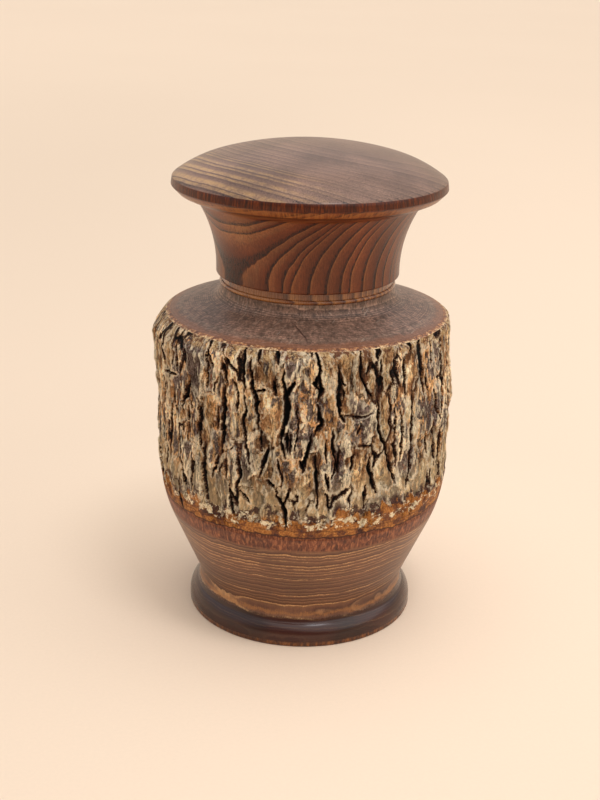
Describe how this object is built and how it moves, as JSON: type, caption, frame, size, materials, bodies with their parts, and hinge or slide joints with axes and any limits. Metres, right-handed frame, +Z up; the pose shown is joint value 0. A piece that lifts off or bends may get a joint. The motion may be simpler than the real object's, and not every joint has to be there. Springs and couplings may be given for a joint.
{
  "type": "tea caddy",
  "caption": "Turned wooden tea caddy made from a short log with its bark left on, a moulded foot, a collar, a flat inner lid with a knob and a flared, domed outer lid.",
  "frame": {"origin": "centre of the foot's underside, on the surface that the caddy stands on", "axes": "+Z up along the turning axis, through the knob and the dome; the front is taken as -Y"},
  "size_m": [0.0968, 0.0968, 0.159],
  "materials": {
    "log_wood": "satin",
    "inner_bark": "satin",
    "bark": "matte",
    "plug_wood": "satin",
    "collar_wood": "gloss",
    "plain_wood": "satin",
    "knob_wood": "gloss",
    "lid_wood": "gloss"
  },
  "bodies": {
    "caddy": {"body": "log_wood", "inner_bark": "inner_bark", "bark": "bark", "base_plug": "plug_wood", "neck_collar": "collar_wood"},
    "inner_lid": {"inner_lid": "plain_wood", "inner_lid_knob": "knob_wood"},
    "outer_lid": {"outer_lid": "lid_wood"}
  },
  "joints": [
    {"name": "inner_lid_lift", "type": "slide", "parent": "caddy", "child": "inner_lid", "axis": [0, 0, 1], "range_m": [0, 0.04]},
    {"name": "outer_lid_lift", "type": "slide", "parent": "inner_lid", "child": "outer_lid", "axis": [0, 0, 1], "range_m": [0, 0.07]}
  ]
}
